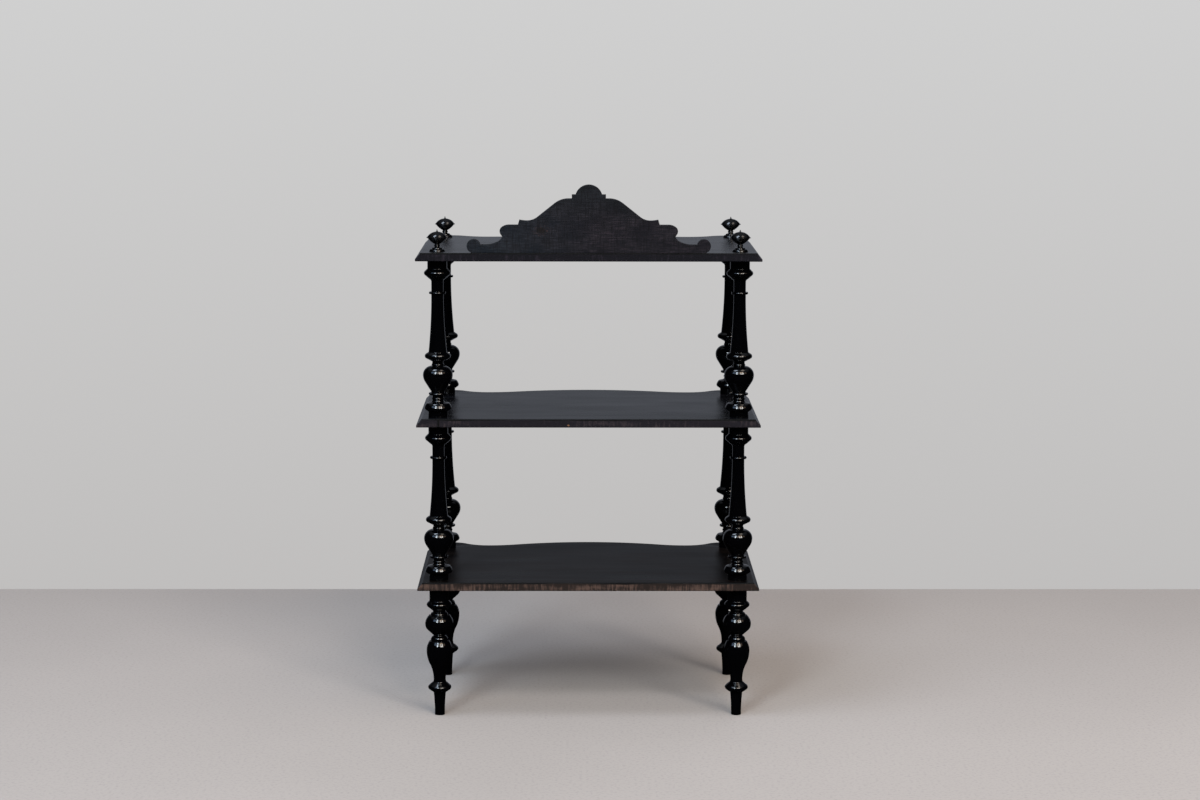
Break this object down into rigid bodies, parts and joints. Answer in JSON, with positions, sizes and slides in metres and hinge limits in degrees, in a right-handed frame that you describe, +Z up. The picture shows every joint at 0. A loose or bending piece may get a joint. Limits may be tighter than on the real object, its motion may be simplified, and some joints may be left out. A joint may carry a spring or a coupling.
{
  "type": "etagere",
  "caption": "Open display stand with serpentine-fronted ebonised boards on turned posts, urn-shaped columns, turned finials and a fretted crest at the back edge.",
  "frame": {"origin": "on the floor, under the middle of the rectangle that the boards cover", "axes": "+X along the boards to the right as seen from behind, +Y from the straight back edge to the bowed front, +Z up"},
  "size_m": [0.65, 0.42, 1.0204],
  "materials": {
    "board": "black-stained and polished, worn on the sawn back edge",
    "crest": "black stain, matt on the back",
    "turning": "ebonised, glossy French polish",
    "dowel": "bare beech"
  },
  "bodies": {
    "root": {"shelf_bottom": "board", "shelf_middle": "board", "shelf_top": "board", "crest": "crest", "crest_dowels": "dowel", "leg_back_left": "turning", "leg_back_right": "turning", "leg_front_left": "turning", "leg_front_right": "turning", "lower_column_back_left": "turning", "lower_column_back_right": "turning", "lower_column_front_left": "turning", "lower_column_front_right": "turning", "upper_column_back_left": "turning", "upper_column_back_right": "turning", "upper_column_front_left": "turning", "upper_column_front_right": "turning", "finial_back_left": "turning", "finial_back_right": "turning", "finial_front_left": "turning", "finial_front_right": "turning"}
  },
  "joints": []
}
